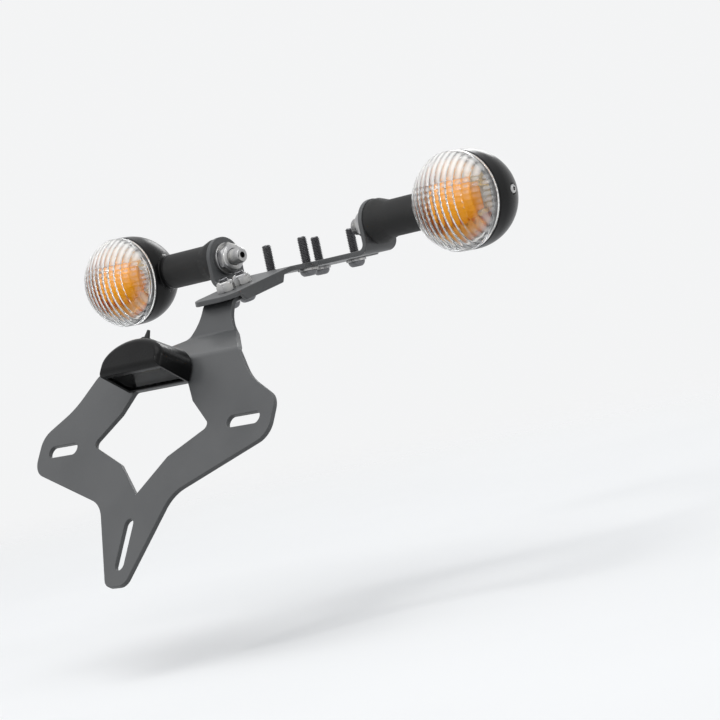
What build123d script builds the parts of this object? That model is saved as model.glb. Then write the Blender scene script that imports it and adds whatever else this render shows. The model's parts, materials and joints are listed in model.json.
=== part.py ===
"""Tail tidy: a star-shaped number plate bracket that hangs under a motorbike's tail.

It carries an arched plate light and, on the undertail bracket's ears, two round indicators.

Frame: +X is the motorbike's right, +Y its front, +Z up, in millimetres.
The origin is the middle of the four tail bolts, on the undertail bracket's top face.
"""
import os
from math import atan2, cos, radians, sin, sqrt, tan

from build123d import *

os.makedirs("parts", exist_ok=True)

# Sheet metal
sheet = 3.0
inside_bend = 4.0
outside_bend = inside_bend + sheet

# Undertail bracket: a flat spine, a sloping rear end and two arms with upturned ears
spine_width = 46.0
spine_front = 40.0
spine_back = 38.0
spine_corner = 9.0
slope_angle = 10.0
slope_length = 57.0
slope_width = 34.0
slope_taper = 8.0
taper_blend = 2.6
flange_depth = 7.0
flange_end_gap = 5.0
flange_run_out = 5.0
arm_width = 28.0
arm_blend = 3.0
ear_span = 132.0

# Tail bolts, which stand up out of the spine
tail_bolts_across = 30.0
tail_bolts_along = 44.0
tail_bolt_reach = 16.0

# Neck: the tongue bolted under the slope, the rise and the ramp that lead down to the number plate
neck_width = 25.0
neck_from_spine = 49.5
tongue_length = 33.0
tongue_corner = 8.0
rise_angle = 59.0
rise_length = 21.5
ramp_angle = 13.0
ramp_length = 40.0
neck_bolt_first = 9.5
neck_bolt_pitch = 14.5

# Number plate carrier, measured across and up its own face from the line of its side slots
plate_tilt = 33.0
fold_above_slots = 46.0
tip_below_slots = 89.5
tip_width = 15.6
tip_corner = 7.0
waist_half = 29.3
waist_below_slots = 38.3
waist_corner = 20.0
lobe_width = 193.6
lobe_below_slots = 11.5
lobe_above_slots = 11.0
lobe_corner = 12.0
arm_bend_half = 73.0
arm_bend_above_slots = 26.0
arm_corner = 45.0
shoulder_width = 115.5
shoulder_corner = 30.0
throat_height = 80.0
throat_corner = 25.0
slot_spacing = 150.0
slot_length = 25.0
slot_width = 7.0
leg_slot_below = 65.0
leg_slot_length = 30.0
opening_point = 35.5
opening_waist_half = 19.5
opening_waist_below = 15.0
opening_corner_half = 48.5
opening_arm_half = 30.0
opening_arm_above = 17.0
opening_top_half = 22.0
opening_top_above = 30.0
opening_round = 3.0

# Plate light, measured across, up and out from its seat on the number plate carrier
light_width = 50.0
light_height = 24.0
light_front_height = 19.5
light_side = 6.0
light_depth = 26.0
light_above_slots = 28.7
light_nose = 4.0
light_wall = 2.0
light_lip = 1.4
light_lens_thickness = 1.8
light_lens_recess = 1.2
light_gasket = 1.0
light_gasket_inset = 1.0
light_screw_spacing = 28.0
light_screw_height = 8.0
light_boss = 8.0
light_boss_length = 7.0
board_thickness = 1.6
board_width = 26.0
board_depth = 13.0
led_count = 3
led_size = 3.6
led_height = 1.5
led_pitch = 8.0
gland_flange = 6.4
gland_flange_height = 1.2
gland_neck = 3.6
gland_height = 6.5
gland_bore = 1.6
gland_from_nose = 9.5
gland_seat = 9.0
gland_seat_rise = 0.6

# Indicators, measured out from the mid-plane and forward from the cup's rim
lens_diameter = 57.0
lamp_spacing = 283.0
lamp_above_spine = 14.5
lamp_rim_back = 24.0
cup_depth = 30.0
cup_band = 6.0
cup_back = 34.0
cup_wall = 3.0
lens_skirt = 4.5
lens_dome = 20.0
lens_wall = 2.2
seal_thickness = 1.2
seal_width = 4.2
reflector_wall = 1.2
reflector_lip = 1.3
reflector_depth = 20.0
reflector_mouth = 46.0
reflector_middle = 36.4
bulb_globe = 25.0
bulb_neck = 13.6
bulb_base = 15.0
bulb_base_length = 13.0
bulb_reach = 13.0
holder_wall = 2.2
holder_length = 9.0
stalk_from_rim = 14.0
stalk_diameter = 22.0
stalk_foot = 27.0
stalk_foot_length = 4.0
stalk_flare_length = 8.0
collar_length = 4.0
spigot_diameter = 14.0
spigot_length = 12.0
stud_diameter = 10.0
stud_bore = 4.0
stud_inside = 15.0
stud_in_stalk = 12.0
stud_flange = 16.0
stud_flange_thickness = 4.0
stud_washer = 20.0
stud_washer_thickness = 2.0
stud_nut_flats = 17.0
stud_nut_height = 6.0

# Screws and bolts
bolt_diameter = 6.0
bolt_head = 10.5
bolt_head_height = 3.3
bolt_socket_flats = 4.0
bolt_socket_depth = 2.0
bolt_washer = 12.5
bolt_washer_thickness = 1.6
bolt_nut_flats = 10.0
bolt_nut_height = 6.0
nut_hex_share = 0.7
bolt_end = 2.0
light_screw_diameter = 4.0
light_screw_head = 7.6
light_screw_head_height = 2.4
light_screw_socket = 2.5
lamp_screw_diameter = 3.0
lamp_screw_head = 5.6
lamp_screw_head_height = 1.9
lamp_screw_socket = 2.0
lamp_screw_boss = 6.4
lamp_screw_length = 9.0
lamp_screw_seat = 1.2
screw_socket_depth = 1.3

# Fits, per radius or per side
hole_clearance = 0.3
thread_clearance = 0.05
fit_clearance = 0.1


def step(angle):
    """Unit step in the side view, forward and up at an angle above level."""
    return Vector(cos(radians(angle)), sin(radians(angle)))


def shifted(plane, across, up, out=0.0):
    """The plane with its origin moved to a place measured in the plane."""
    return Plane(plane.from_local_coords((across, up, out)), x_dir=plane.x_dir, z_dir=plane.z_dir)


def section_of(plane):
    """Plane for turning a piece about a plane's normal: radius first, then height along it."""
    return Plane(plane.origin, x_dir=plane.x_dir, z_dir=plane.y_dir * -1)


def axis_of(plane):
    """The plane's normal, as an axis."""
    return Axis(plane.origin, plane.z_dir)


def keep(piece, label):
    """Labels a finished piece and writes its STEP file."""
    piece.part.label = label
    export_step(piece.part, f"parts/{label}.step")


# Side view corners, forward and up: the slope's underside and the number plate bracket's rear face
slope_start = Vector(-spine_back, -sheet)
slope_end = slope_start - step(slope_angle) * slope_length
neck_top = slope_start - step(slope_angle) * neck_from_spine
tongue_end = neck_top + step(slope_angle) * tongue_length
ramp_top = neck_top - step(rise_angle) * rise_length
plate_fold = ramp_top - step(ramp_angle) * ramp_length
plate_rise = step(90 - plate_tilt)
slot_line = plate_fold - plate_rise * fold_above_slots
plate_tip = slot_line - plate_rise * tip_below_slots

# Working planes: the carrier's rear face, the light's seat and floor, and the slope's underside
plate_plane = Plane((0, slot_line.X, slot_line.Y), x_dir=(1, 0, 0), z_dir=(0, -plate_rise.Y, plate_rise.X))
light_seat = shifted(plate_plane, 0, light_above_slots, light_gasket)
light_floor = Plane(light_seat.origin, x_dir=(-1, 0, 0), z_dir=light_seat.y_dir)
slope_normal = step(slope_angle + 90)
slope_plane = Plane((0, neck_top.X, neck_top.Y), x_dir=(1, 0, 0), z_dir=(0, slope_normal.X, slope_normal.Y))
stalk_y = stalk_from_rim - lamp_rim_back
ear_plane = Plane((0, stalk_y, lamp_above_spine), x_dir=(0, 1, 0), z_dir=(1, 0, 0))

# Places of the fasteners
neck_bolt_places = [(0, neck_bolt_first), (0, neck_bolt_first + neck_bolt_pitch)]
light_screw_places = [(x * light_screw_spacing / 2, light_screw_height) for x in (-1, 1)]
bolt_hole = bolt_diameter / 2 + hole_clearance
light_screw_hole = light_screw_diameter / 2 + hole_clearance
stud_hole = stud_diameter / 2 + hole_clearance


# Number plate bracket: one folded sheet, cut to its outline square to the number plate
def half_outline():
    """Right half of the bracket's outline, from the tip up over the lobe and shoulder to the tongue's end."""
    top = plate_plane.to_local_coords(Vector(0, tongue_end.X, tongue_end.Y)).Y
    points = [
        (0, -tip_below_slots),
        (tip_width / 2, -tip_below_slots),
        (waist_half, -waist_below_slots),
        (lobe_width / 2, -lobe_below_slots),
        (lobe_width / 2, lobe_above_slots),
        (arm_bend_half, arm_bend_above_slots),
        (shoulder_width / 2, fold_above_slots),
        (neck_width / 2, throat_height),
        (neck_width / 2, top),
        (0, top),
    ]
    corners = [
        tip_corner,
        waist_corner,
        lobe_corner,
        lobe_corner,
        arm_corner,
        shoulder_corner,
        throat_corner,
        tongue_corner,
    ]
    return points, corners


outline_points, outline_corners = half_outline()
with BuildPart() as plate_bracket:
    with BuildSketch(Plane.YZ):
        with BuildLine():
            FilletPolyline(
                [plate_tip, plate_fold, ramp_top, neck_top, tongue_end],
                radius=[outside_bend, inside_bend, outside_bend],
            )
            offset(amount=sheet, side=Side.RIGHT)
        make_face()
    extrude(amount=lobe_width / 2, both=True)
    with BuildSketch(plate_plane):
        with BuildLine():
            FilletPolyline(outline_points, radius=outline_corners)
            mirror(about=Plane.YZ)
        make_face()
    extrude(amount=lobe_width, both=True, mode=Mode.INTERSECT)
    with BuildSketch(plate_plane):
        with BuildLine():
            FilletPolyline(
                [
                    (0, -opening_point),
                    (opening_waist_half, -opening_waist_below),
                    (opening_corner_half, 0),
                    (opening_arm_half, opening_arm_above),
                    (opening_top_half, opening_top_above),
                    (0, opening_top_above),
                ],
                radius=opening_round,
            )
            mirror(about=Plane.YZ)
        make_face()
        with Locations((-slot_spacing / 2, 0), (slot_spacing / 2, 0)):
            SlotOverall(slot_length, slot_width)
        with Locations((0, -leg_slot_below)):
            SlotOverall(leg_slot_length, slot_width, rotation=90)
        with Locations([(x, y + light_above_slots) for x, y in light_screw_places]):
            Circle(light_screw_hole)
    extrude(amount=-sheet, mode=Mode.SUBTRACT)
    with BuildSketch(slope_plane):
        with Locations(neck_bolt_places):
            Circle(bolt_hole)
    extrude(amount=-sheet, mode=Mode.SUBTRACT)
keep(plate_bracket, "plate_bracket")


# Undertail bracket: a spine with a flanged slope, and one cross strip whose ends turn up as ears
def flange_corner(along, down):
    """Side view point of a slope flange, along the slope from its start and down from its top face."""
    return slope_start - step(slope_angle) * along + slope_normal * (sheet - down)


ear_top = lamp_above_spine + arm_width / 2
taper_turn = atan2((spine_width - slope_width) / 2, slope_taper)
taper_radius = taper_blend / tan(taper_turn / 2)
plan_points = [
    (0, spine_front),
    (spine_width / 2, spine_front),
    (spine_width / 2, -spine_back + slope_taper),
    (slope_width / 2, -spine_back),
    (slope_width / 2, slope_end.X),
    (0, slope_end.X),
]
with BuildPart() as undertail_bracket:
    with BuildSketch(Plane.YZ):
        with BuildLine():
            FilletPolyline([Vector(spine_front, -sheet), slope_start, slope_end], radius=inside_bend)
            offset(amount=sheet, side=Side.RIGHT)
        make_face()
    extrude(amount=spine_width / 2, both=True)
    with BuildSketch(Plane.XY):
        with BuildLine():
            FilletPolyline(plan_points, radius=[spine_corner, taper_radius, taper_radius, spine_corner])
            mirror(about=Plane.YZ)
        make_face()
    extrude(amount=spine_width, both=True, mode=Mode.INTERSECT)
    for inner in (slope_width / 2 - sheet, -slope_width / 2):
        with BuildSketch(Plane.YZ.offset(inner)):
            Polygon(
                flange_corner(flange_end_gap, 0),
                flange_corner(slope_length - spine_corner, 0),
                flange_corner(slope_length - spine_corner - flange_run_out, flange_depth),
                flange_corner(flange_end_gap + flange_run_out, flange_depth),
                align=None,
            )
        extrude(amount=sheet)
    with BuildSketch(Plane((0, stalk_y, 0), x_dir=(1, 0, 0), z_dir=(0, -1, 0))):
        with BuildLine():
            FilletPolyline(
                [
                    (-ear_span / 2, ear_top),
                    (-ear_span / 2, -sheet),
                    (ear_span / 2, -sheet),
                    (ear_span / 2, ear_top),
                ],
                radius=outside_bend,
            )
            offset(amount=sheet, side=Side.LEFT)
        make_face()
    extrude(amount=arm_width / 2, both=True)
    ear_corners = edges().filter_by(Axis.X).group_by(Axis.Z)[-1]
    fillet(ear_corners, radius=arm_width / 2 - fit_clearance)
    arm_roots = [
        edge
        for edge in edges().filter_by(Axis.Z)
        if abs(abs(edge.center().X) - spine_width / 2) < fit_clearance
        and abs(abs(edge.center().Y - stalk_y) - arm_width / 2) < fit_clearance
    ]
    fillet(arm_roots, radius=arm_blend)
    with BuildSketch(Plane.XY):
        with GridLocations(tail_bolts_across, tail_bolts_along, 2, 2):
            Circle(bolt_hole)
    extrude(amount=-sheet, mode=Mode.SUBTRACT)
    with BuildSketch(ear_plane):
        Circle(stud_hole)
    extrude(amount=ear_span, both=True, mode=Mode.SUBTRACT)
    with BuildSketch(slope_plane):
        with Locations(neck_bolt_places):
            Circle(bolt_hole)
    extrude(amount=sheet, mode=Mode.SUBTRACT)
keep(undertail_bracket, "undertail_bracket")


# Fasteners: each plane lies where the head, washer or nut bears, and its normal is the way the shank goes
def button_bolts(label, planes, diameter, grip, reach, head, head_height, socket_flats, socket_depth):
    """Button-head bolts with hexagon sockets: a plain shank along the grip, then the thread."""
    thread = diameter / 2 - thread_clearance
    with BuildPart() as bolts:
        for plane in planes:
            with BuildSketch(section_of(plane)):
                with BuildLine():
                    Polyline((0, reach), (thread, reach), (thread, grip), (diameter / 2, grip))
                    Polyline((diameter / 2, grip), (diameter / 2, 0), (head / 2, 0))
                    TangentArc((head / 2, 0), (diameter / 2, -head_height), tangent=(0, -1))
                    Polyline((diameter / 2, -head_height), (0, -head_height), (0, reach))
                make_face()
            revolve(axis=axis_of(plane))
            with BuildSketch(plane.offset(-head_height)):
                RegularPolygon(socket_flats / 2, 6, major_radius=False)
            extrude(amount=socket_depth, mode=Mode.SUBTRACT)
    keep(bolts, label)


def washers(label, planes, outer, bore, thickness):
    """Flat washers that lie on their planes."""
    with BuildPart() as rings:
        for plane in planes:
            with BuildSketch(plane):
                Circle(outer / 2)
                Circle(bore / 2, mode=Mode.SUBTRACT)
            extrude(amount=thickness)
    keep(rings, label)


def lock_nuts(label, planes, flats, bore, height):
    """Hexagon lock nuts that stand on their planes, with a turned collar on top."""
    with BuildPart() as nuts:
        for plane in planes:
            with BuildSketch(plane):
                RegularPolygon(flats / 2, 6, major_radius=False)
            extrude(amount=height * nut_hex_share)
            with BuildSketch(plane):
                Circle(flats / 2 - fit_clearance)
            extrude(amount=height)
            with BuildSketch(plane):
                Circle(bore / 2)
            extrude(amount=height, mode=Mode.SUBTRACT)
    keep(nuts, label)


tail_bolt_seats = [
    Plane((x * tail_bolts_across / 2, y * tail_bolts_along / 2, -sheet)) for x in (-1, 1) for y in (-1, 1)
]
tail_heads = [plane.offset(-bolt_washer_thickness) for plane in tail_bolt_seats]
bolt_bore = bolt_diameter + 2 * fit_clearance
tail_bolt_grip = bolt_washer_thickness + sheet
button_bolts(
    "tail_bolts", tail_heads, bolt_diameter, tail_bolt_grip, tail_bolt_grip + tail_bolt_reach,
    bolt_head, bolt_head_height, bolt_socket_flats, bolt_socket_depth,
)
washers("tail_washers", tail_heads, bolt_washer, bolt_bore, bolt_washer_thickness)

neck_seats = [shifted(slope_plane, x, y, -sheet) for x, y in neck_bolt_places]
neck_heads = [plane.offset(-bolt_washer_thickness) for plane in neck_seats]
neck_nut_seats = [plane.offset(2 * sheet) for plane in neck_seats]
neck_bolt_grip = bolt_washer_thickness + 2 * sheet
neck_bolt_reach = neck_bolt_grip + bolt_nut_height + bolt_end
button_bolts(
    "neck_bolts", neck_heads, bolt_diameter, neck_bolt_grip, neck_bolt_reach,
    bolt_head, bolt_head_height, bolt_socket_flats, bolt_socket_depth,
)
washers("neck_washers", neck_heads, bolt_washer, bolt_bore, bolt_washer_thickness)
lock_nuts("neck_nuts", neck_nut_seats, bolt_nut_flats, bolt_bore, bolt_nut_height)


# Plate light: an arched hood, open below, on a gasket against the number plate carrier
light_inset = light_wall + light_lip
light_chin = light_nose + light_wall
lens_width = light_width - 2 * light_wall
lens_depth = light_depth - light_wall - light_chin
lens_middle = light_wall + lens_depth / 2
lens_top = light_lens_recess + light_lens_thickness


def arch(plane, height, inset, base):
    """An arched section of the hood, inset from its outer face and closed by a base line."""
    half = light_width / 2 - inset
    with BuildSketch(plane) as section:
        with BuildLine():
            Polyline((-half, light_side), (-half, base), (half, base), (half, light_side))
            EllipticalCenterArc((0, light_side), half, height - inset - light_side, arc_size=180)
        make_face()
    return section.sketch


roof_slope = (light_height - light_front_height) / light_depth
gland_height_on_roof = light_front_height + roof_slope * gland_from_nose + gland_seat_rise
gland_plane = Plane(
    light_seat.from_local_coords((0, gland_height_on_roof, light_depth - gland_from_nose)),
    x_dir=(-1, 0, 0),
    z_dir=light_seat.y_dir,
)
with BuildPart() as plate_light_housing:
    hood_back = arch(light_seat, light_height, 0, 0)
    hood_front = arch(light_seat.offset(light_depth), light_front_height, 0, 0)
    loft([hood_back, hood_front])
    nose = faces().sort_by(axis_of(light_seat))[-1]
    fillet(nose.edges(), radius=light_nose)
    with BuildSketch(gland_plane):
        Circle(gland_seat / 2)
    extrude(amount=-(gland_seat_rise + light_inset))
    with BuildSketch(shifted(light_floor, 0, lens_middle)):
        Rectangle(lens_width, lens_depth)
    extrude(amount=lens_top, mode=Mode.SUBTRACT)
    extrude(
        arch(light_seat.offset(light_inset), light_front_height, light_inset, lens_top),
        amount=lens_depth - 2 * light_lip,
        mode=Mode.SUBTRACT,
    )
    with BuildSketch(light_seat):
        with Locations(light_screw_places):
            Circle(light_boss / 2)
    extrude(amount=light_inset + light_boss_length)
    with BuildSketch(light_seat):
        with Locations(light_screw_places):
            Circle(light_screw_diameter / 2 + fit_clearance)
    extrude(amount=light_inset + light_boss_length - light_wall, mode=Mode.SUBTRACT)
    with BuildSketch(gland_plane):
        Circle(gland_neck / 2 + fit_clearance)
    extrude(amount=-2 * light_inset, mode=Mode.SUBTRACT)
keep(plate_light_housing, "plate_light_housing")

with BuildPart() as plate_light_lens:
    with BuildSketch(shifted(light_floor, 0, lens_middle, light_lens_recess)):
        Rectangle(lens_width - 2 * fit_clearance, lens_depth - 2 * fit_clearance)
    extrude(amount=light_lens_thickness)
keep(plate_light_lens, "plate_light_lens")

with BuildPart() as plate_light_gasket:
    extrude(arch(light_seat, light_height, light_gasket_inset, light_gasket_inset), amount=-light_gasket)
    with BuildSketch(light_seat):
        with Locations(light_screw_places):
            Circle(light_screw_hole)
    extrude(amount=-light_gasket, mode=Mode.SUBTRACT)
keep(plate_light_gasket, "plate_light_gasket")

board_height = light_screw_height + light_boss / 2 + fit_clearance
with BuildPart() as plate_light_board:
    with BuildSketch(shifted(light_floor, 0, light_inset + fit_clearance + board_depth / 2, board_height)):
        Rectangle(board_width, board_depth)
    extrude(amount=board_thickness)
    with BuildSketch(shifted(light_floor, 0, light_inset + fit_clearance + board_depth / 2, board_height)):
        with GridLocations(led_pitch, 0, led_count, 1):
            Rectangle(led_size, led_size)
    extrude(amount=-led_height)
keep(plate_light_board, "plate_light_board")

light_screw_seats = [shifted(light_seat, x, y, -light_gasket - sheet) for x, y in light_screw_places]
light_screw_grip = sheet + light_gasket
light_screw_reach = light_screw_grip + light_inset + light_boss_length - 2 * light_wall
button_bolts(
    "plate_light_screws", light_screw_seats, light_screw_diameter, light_screw_grip, light_screw_reach,
    light_screw_head, light_screw_head_height, light_screw_socket, screw_socket_depth,
)

with BuildPart() as cable_gland:
    with BuildSketch(section_of(gland_plane)):
        with BuildLine():
            Polyline(
                (gland_bore / 2, -gland_seat_rise - light_inset),
                (gland_neck / 2, -gland_seat_rise - light_inset),
                (gland_neck / 2, 0),
                (gland_flange / 2, 0),
                (gland_flange / 2, gland_flange_height),
                (gland_neck / 2, gland_flange_height),
                (gland_bore / 2 + fit_clearance, gland_height),
                (gland_bore / 2, gland_height),
                close=True,
            )
        make_face()
    revolve(axis=axis_of(gland_plane))
keep(cable_gland, "cable_gland")

# Indicators: shared sizes, then every piece for the left and the right side
rim = lens_diameter / 2
cup_inside = rim - cup_wall
cup_inside_depth = cup_depth - cup_wall
lens_start = -seal_thickness
dome_start = lens_start - lens_skirt
dome_end = dome_start - lens_dome
reflector_outer = cup_inside + reflector_lip
bowl_mouth = reflector_mouth / 2 + reflector_wall
bowl_middle = (reflector_middle / 2 + reflector_wall, reflector_depth / 2 + reflector_wall / 2)
bowl_back = bulb_base / 2 + holder_wall + reflector_wall + hole_clearance
holder_outer = bulb_base / 2 + fit_clearance + holder_wall
globe_centre = bulb_globe / 2 - bulb_reach
globe_start = globe_centre + sqrt((bulb_globe / 2) ** 2 - (bulb_neck / 2) ** 2)
bulb_end = cup_inside_depth - fit_clearance
ear_outside = ear_span / 2
ear_inside = ear_outside - sheet


def cup_radius(along, radius, back, depth):
    """Radius of the cup's curved wall at a place along the cup."""
    inward = radius - back
    bend = ((depth - cup_band) ** 2 + inward**2) / (2 * inward)
    return radius - bend + sqrt(bend**2 - (along - cup_band) ** 2)


cup_side = cup_radius(stalk_from_rim, rim, cup_back / 2, cup_depth)
boss_place = stalk_from_rim + lamp_screw_boss / 2
boss_room = cup_radius(boss_place, cup_inside, cup_back / 2 - cup_wall, cup_inside_depth)
screw_boss_end = sqrt(boss_room**2 - (lamp_screw_boss / 2) ** 2) - fit_clearance
screw_seat_out = lamp_spacing / 2 + cup_side - lamp_screw_seat
collar_face = lamp_spacing / 2 - cup_side - collar_length
spigot_end = collar_face - spigot_length
stud_end = ear_outside + stud_in_stalk + stud_flange_thickness

for side, sign in (("left", -1), ("right", 1)):
    lamp_plane = Plane(
        (sign * lamp_spacing / 2, -lamp_rim_back, lamp_above_spine), x_dir=(sign, 0, 0), z_dir=(0, 1, 0)
    )
    stalk_plane = Plane((0, stalk_y, lamp_above_spine), x_dir=(0, 0, 1), z_dir=(sign, 0, 0))
    screw_plane = Plane(stalk_plane.offset(screw_seat_out).origin, x_dir=(0, 0, 1), z_dir=(-sign, 0, 0))

    with BuildPart() as housing:
        with BuildSketch(section_of(lamp_plane)):
            with BuildLine():
                Polyline((0, 0), (rim, 0), (rim, cup_band))
                TangentArc((rim, cup_band), (cup_back / 2, cup_depth), tangent=(0, 1))
                Polyline((cup_back / 2, cup_depth), (0, cup_depth), (0, 0))
            make_face()
        revolve(axis=axis_of(lamp_plane))
        with BuildSketch(stalk_plane.offset(collar_face)):
            Circle(stalk_diameter / 2)
        extrude(amount=lamp_spacing / 2 - collar_face)
        with BuildSketch(stalk_plane.offset(spigot_end)):
            Circle(spigot_diameter / 2)
        extrude(amount=spigot_length)
        with BuildSketch(section_of(lamp_plane)):
            with BuildLine():
                Polyline((0, 0), (cup_inside, 0), (cup_inside, cup_band))
                TangentArc(
                    (cup_inside, cup_band), (cup_back / 2 - cup_wall, cup_inside_depth), tangent=(0, 1)
                )
                Polyline((cup_back / 2 - cup_wall, cup_inside_depth), (0, cup_inside_depth), (0, 0))
            make_face()
        revolve(axis=axis_of(lamp_plane), mode=Mode.SUBTRACT)
        with BuildSketch(lamp_plane):
            Circle(reflector_outer + fit_clearance)
        extrude(amount=reflector_wall, mode=Mode.SUBTRACT)
        with BuildSketch(stalk_plane.offset(spigot_end)):
            Circle(stud_bore / 2)
        extrude(amount=lamp_spacing / 2 - spigot_end, mode=Mode.SUBTRACT)
        with BuildSketch(screw_plane):
            Circle(lamp_screw_head / 2 + fit_clearance)
        extrude(amount=-2 * lamp_screw_seat, mode=Mode.SUBTRACT)
        with BuildSketch(screw_plane):
            Circle(lamp_screw_diameter / 2 + fit_clearance)
        extrude(amount=cup_wall, mode=Mode.SUBTRACT)
    keep(housing, f"{side}_indicator_housing")

    with BuildPart() as lens:
        with BuildSketch(section_of(lamp_plane)):
            with BuildLine():
                Polyline((0, dome_end + lens_wall), (0, dome_end))
                TangentArc((0, dome_end), (rim, dome_start), tangent=(1, 0))
                Polyline(
                    (rim, dome_start),
                    (rim, lens_start),
                    (rim - lens_wall, lens_start),
                    (rim - lens_wall, dome_start),
                )
                TangentArc((0, dome_end + lens_wall), (rim - lens_wall, dome_start), tangent=(1, 0))
            make_face()
        revolve(axis=axis_of(lamp_plane))
    keep(lens, f"{side}_indicator_lens")

    with BuildPart() as seal:
        with BuildSketch(lamp_plane):
            Circle(rim - fit_clearance)
            Circle(rim - fit_clearance - seal_width, mode=Mode.SUBTRACT)
        extrude(amount=-seal_thickness)
    keep(seal, f"{side}_indicator_seal")

    with BuildPart() as reflector:
        with BuildSketch(section_of(lamp_plane)):
            with BuildLine():
                Polyline(
                    (0, 0),
                    (reflector_outer, 0),
                    (reflector_outer, reflector_wall),
                    (bowl_mouth, reflector_wall),
                )
                ThreePointArc((bowl_mouth, reflector_wall), bowl_middle, (bowl_back, reflector_depth))
                Polyline((bowl_back, reflector_depth), (0, reflector_depth), (0, 0))
            make_face()
        revolve(axis=axis_of(lamp_plane))
        with BuildSketch(stalk_plane.offset(lamp_spacing / 2)):
            Circle(lamp_screw_boss / 2)
        extrude(amount=screw_boss_end)
        with BuildSketch(section_of(lamp_plane)):
            with BuildLine():
                Line((0, 0), (bowl_mouth - reflector_wall, 0))
                ThreePointArc(
                    (bowl_mouth - reflector_wall, 0),
                    (bowl_middle[0] - reflector_wall, bowl_middle[1] - reflector_wall / 2),
                    (bowl_back - reflector_wall, reflector_depth),
                )
                Polyline((bowl_back - reflector_wall, reflector_depth), (0, reflector_depth), (0, 0))
            make_face()
        revolve(axis=axis_of(lamp_plane), mode=Mode.SUBTRACT)
        with BuildSketch(screw_plane):
            Circle(lamp_screw_diameter / 2 + fit_clearance)
        extrude(amount=lamp_screw_length + fit_clearance, mode=Mode.SUBTRACT)
    keep(reflector, f"{side}_indicator_reflector")

    with BuildPart() as holder:
        with BuildSketch(lamp_plane.offset(cup_inside_depth)):
            Circle(holder_outer)
            Circle(holder_outer - holder_wall, mode=Mode.SUBTRACT)
        extrude(amount=-holder_length)
    keep(holder, f"{side}_indicator_bulb_holder")

    with BuildPart() as bulb:
        with BuildSketch(section_of(lamp_plane)):
            with BuildLine():
                Polyline(
                    (0, globe_centre - bulb_globe / 2),
                    (0, bulb_end),
                    (bulb_base / 2, bulb_end),
                    (bulb_base / 2, bulb_end - bulb_base_length),
                    (bulb_neck / 2, bulb_end - bulb_base_length),
                    (bulb_neck / 2, globe_start),
                )
                ThreePointArc(
                    (bulb_neck / 2, globe_start),
                    (bulb_globe / 2, globe_centre),
                    (0, globe_centre - bulb_globe / 2),
                )
            make_face()
        revolve(axis=axis_of(lamp_plane))
    keep(bulb, f"{side}_indicator_bulb")

    with BuildPart() as stalk:
        with BuildSketch(section_of(stalk_plane)):
            with BuildLine():
                Polyline(
                    (stud_diameter / 2 + fit_clearance, ear_outside),
                    (stalk_foot / 2, ear_outside),
                    (stalk_foot / 2, ear_outside + stalk_foot_length),
                    (stalk_diameter / 2, ear_outside + stalk_foot_length + stalk_flare_length),
                    (stalk_diameter / 2, collar_face),
                    (spigot_diameter / 2 + fit_clearance, collar_face),
                    (spigot_diameter / 2 + fit_clearance, spigot_end - fit_clearance),
                    (stud_bore / 2, spigot_end - fit_clearance),
                    (stud_bore / 2, stud_end + fit_clearance),
                    (stud_flange / 2 + fit_clearance, stud_end + fit_clearance),
                    (stud_flange / 2 + fit_clearance, stud_end - stud_flange_thickness),
                    (stud_diameter / 2 + fit_clearance, stud_end - stud_flange_thickness),
                    close=True,
                )
            make_face()
        revolve(axis=axis_of(stalk_plane))
    keep(stalk, f"{side}_indicator_stalk")

    with BuildPart() as stud:
        with BuildSketch(section_of(stalk_plane)):
            with BuildLine():
                Polyline(
                    (stud_bore / 2, ear_inside - stud_inside),
                    (stud_diameter / 2, ear_inside - stud_inside),
                    (stud_diameter / 2, stud_end - stud_flange_thickness),
                    (stud_flange / 2, stud_end - stud_flange_thickness),
                    (stud_flange / 2, stud_end),
                    (stud_bore / 2, stud_end),
                    close=True,
                )
            make_face()
        revolve(axis=axis_of(stalk_plane))
    keep(stud, f"{side}_indicator_stud")

    washer_seat = Plane((sign * ear_inside, stalk_y, lamp_above_spine), x_dir=(0, 0, 1), z_dir=(-sign, 0, 0))
    stud_hole_bore = stud_diameter + 2 * fit_clearance
    washers(f"{side}_indicator_washer", [washer_seat], stud_washer, stud_hole_bore, stud_washer_thickness)
    nut_seat = washer_seat.offset(stud_washer_thickness)
    lock_nuts(f"{side}_indicator_nut", [nut_seat], stud_nut_flats, stud_hole_bore, stud_nut_height)
    button_bolts(
        f"{side}_indicator_screw", [screw_plane], lamp_screw_diameter, cup_wall, lamp_screw_length,
        lamp_screw_head, lamp_screw_head_height, lamp_screw_socket, screw_socket_depth,
    )
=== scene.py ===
# %% [markdown]
# This scene dresses a tail tidy: a folded bracket that carries a plate light, two round indicators and,
# once it is fitted, a number plate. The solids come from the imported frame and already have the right
# sizes, so the lesson is about finishes, soft edges and the small moulded details that solids leave
# out. The box that the solids fill is kept at once, because nothing added later may reach out of it.

import json
import math

import bpy
from mathutils import Matrix, Vector


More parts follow.
